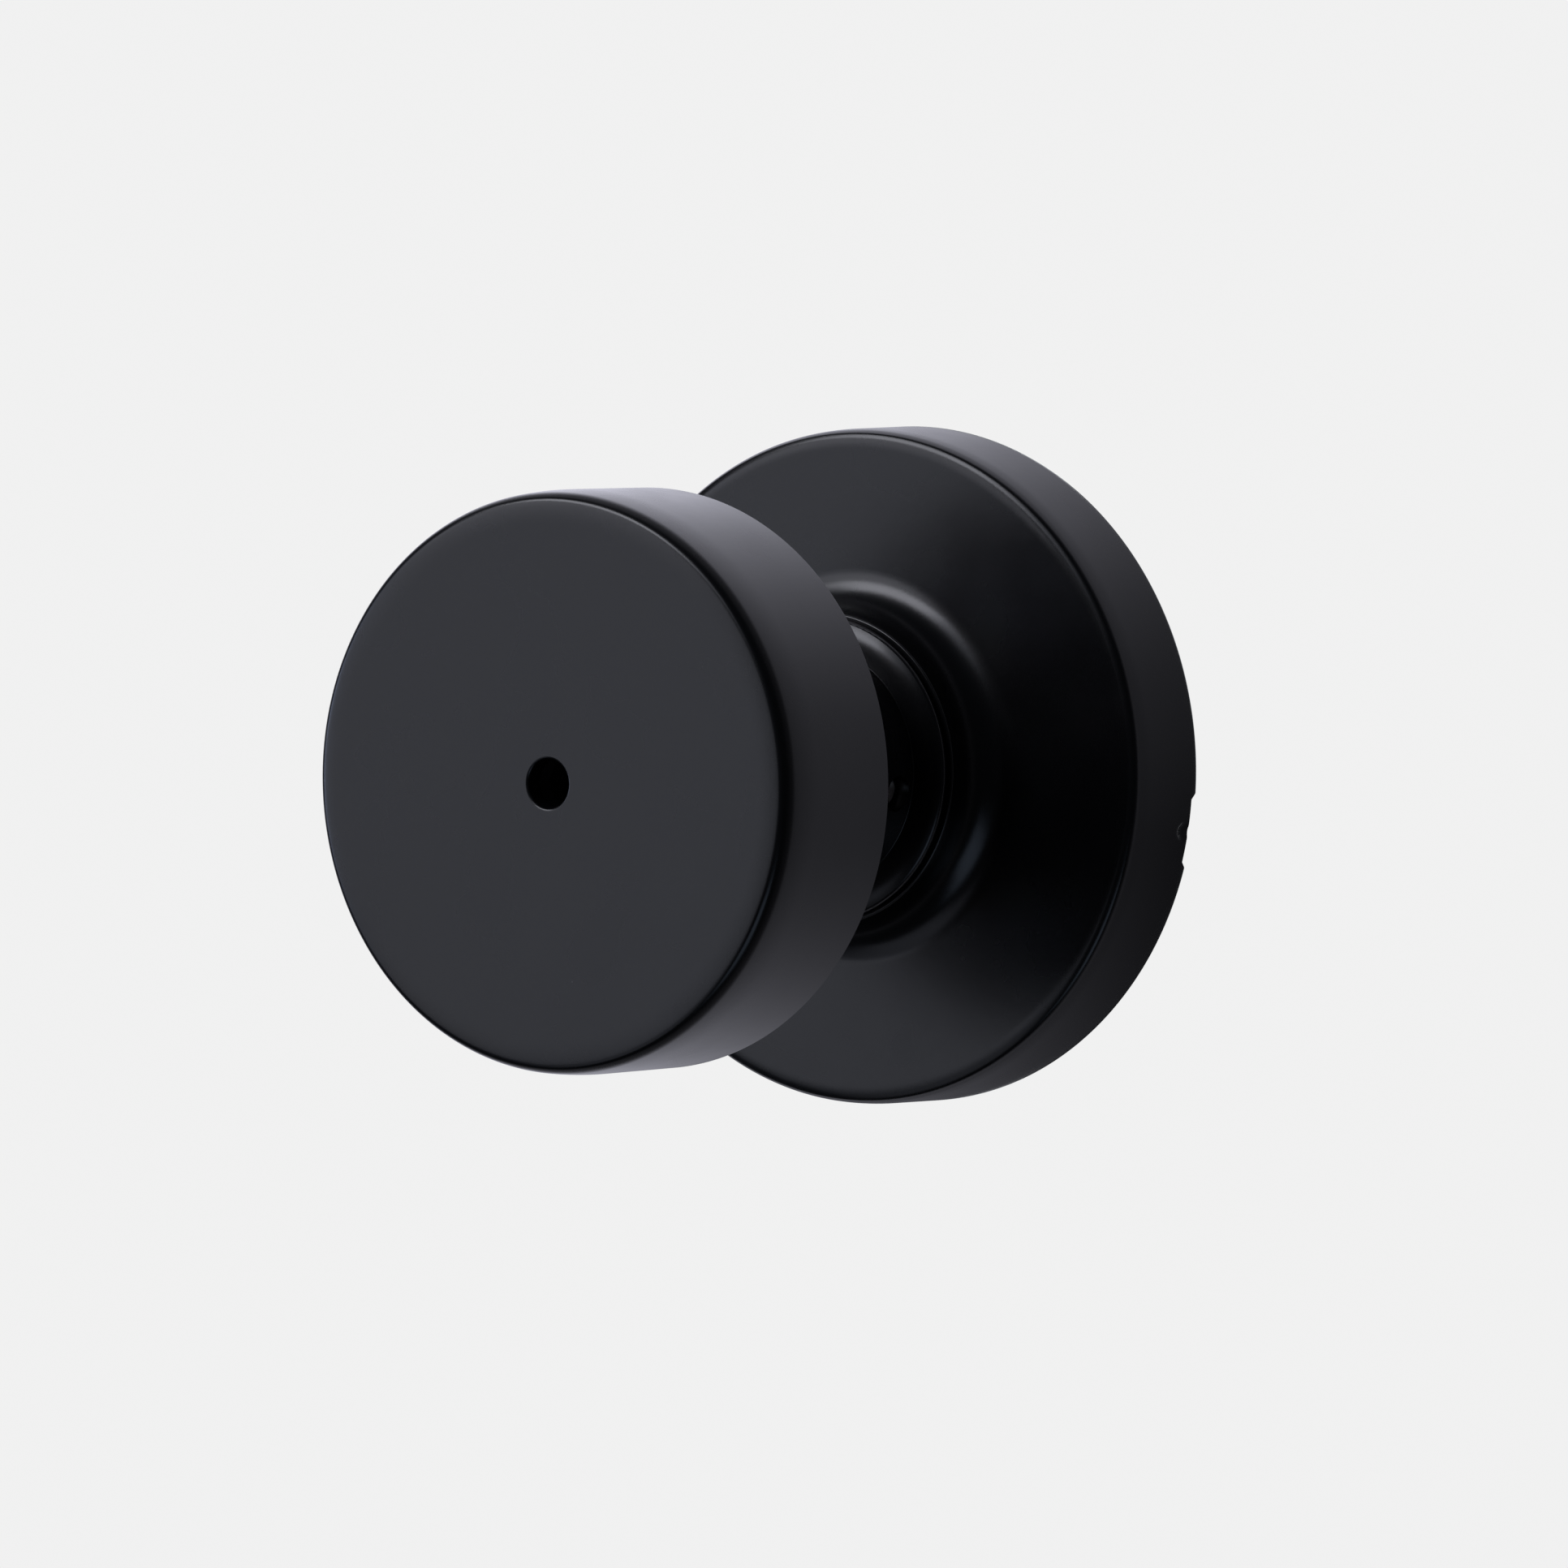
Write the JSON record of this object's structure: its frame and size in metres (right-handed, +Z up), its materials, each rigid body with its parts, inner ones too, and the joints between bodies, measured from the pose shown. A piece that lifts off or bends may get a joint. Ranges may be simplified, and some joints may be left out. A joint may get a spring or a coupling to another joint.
{
  "type": "door knob",
  "caption": "Round black door knob on a flat round rose, with return spring, spindle, posts and an emergency release pinhole.",
  "frame": {"origin": "where the knob's axis meets the door's surface, at the back of the rose", "axes": "+Z up, +Y into the door along the knob's axis, -Y towards the hand, +X to the right of someone facing the knob"},
  "size_m": [0.0666, 0.101, 0.0666],
  "materials": {
    "black_finish": "satin black powder coat with fine orange peel",
    "zinc_casting": "as-cast zinc alloy, dull",
    "zinc_plated_steel": "bright zinc plate",
    "bright_steel": "machined",
    "nickel_plate": "nickel plate",
    "spring_steel": "oil-tempered",
    "pale_nylon": "moulded",
    "dark_nylon": "moulded"
  },
  "bodies": {
    "rose": {"rose_cover": "black_finish", "rose_liner": "zinc_casting", "spindle_bushing": "pale_nylon", "upper_post": "zinc_plated_steel", "lower_post": "zinc_plated_steel", "spring_housing": "zinc_plated_steel", "housing_screws": "bright_steel", "rose_clips": "spring_steel", "return_spring": "spring_steel", "thrust_washer": "zinc_plated_steel"},
    "knob": {"knob_shell": "black_finish", "knob_back_plate": "black_finish", "knob_shank": "black_finish", "shank_screws": "bright_steel", "key_guide": "dark_nylon", "drive_sleeve": "bright_steel", "spring_cam": "zinc_plated_steel", "retaining_ring": "spring_steel", "spindle_plug": "zinc_casting", "spindle": "zinc_plated_steel", "spindle_pin": "bright_steel", "rod_guide": "pale_nylon", "catch_spring": "spring_steel", "release_spring": "spring_steel"},
    "catch": {"knob_catch": "nickel_plate"},
    "release": {"release_rod": "bright_steel", "rod_clip": "spring_steel"}
  },
  "joints": [
    {"name": "knob_turn", "type": "hinge", "parent": "rose", "child": "knob", "pos_m": [0, -0.03, 0], "axis": [0, -1, 0], "range_deg": [-60, 60], "stiffness_Nm_per_rad": 0.25, "deforming": ["return_spring"]},
    {"name": "catch_press", "type": "slide", "parent": "knob", "child": "catch", "axis": [-0.9863, 0, 0.165], "range_m": [0, 0.0013], "stiffness_N_per_m": 400, "springref_m": -0.0015, "deforming": ["catch_spring"]},
    {"name": "release_push", "type": "slide", "parent": "knob", "child": "release", "axis": [0, 1, 0], "range_m": [0, 0.004], "stiffness_N_per_m": 200, "springref_m": -0.003, "deforming": ["release_spring"]}
  ]
}
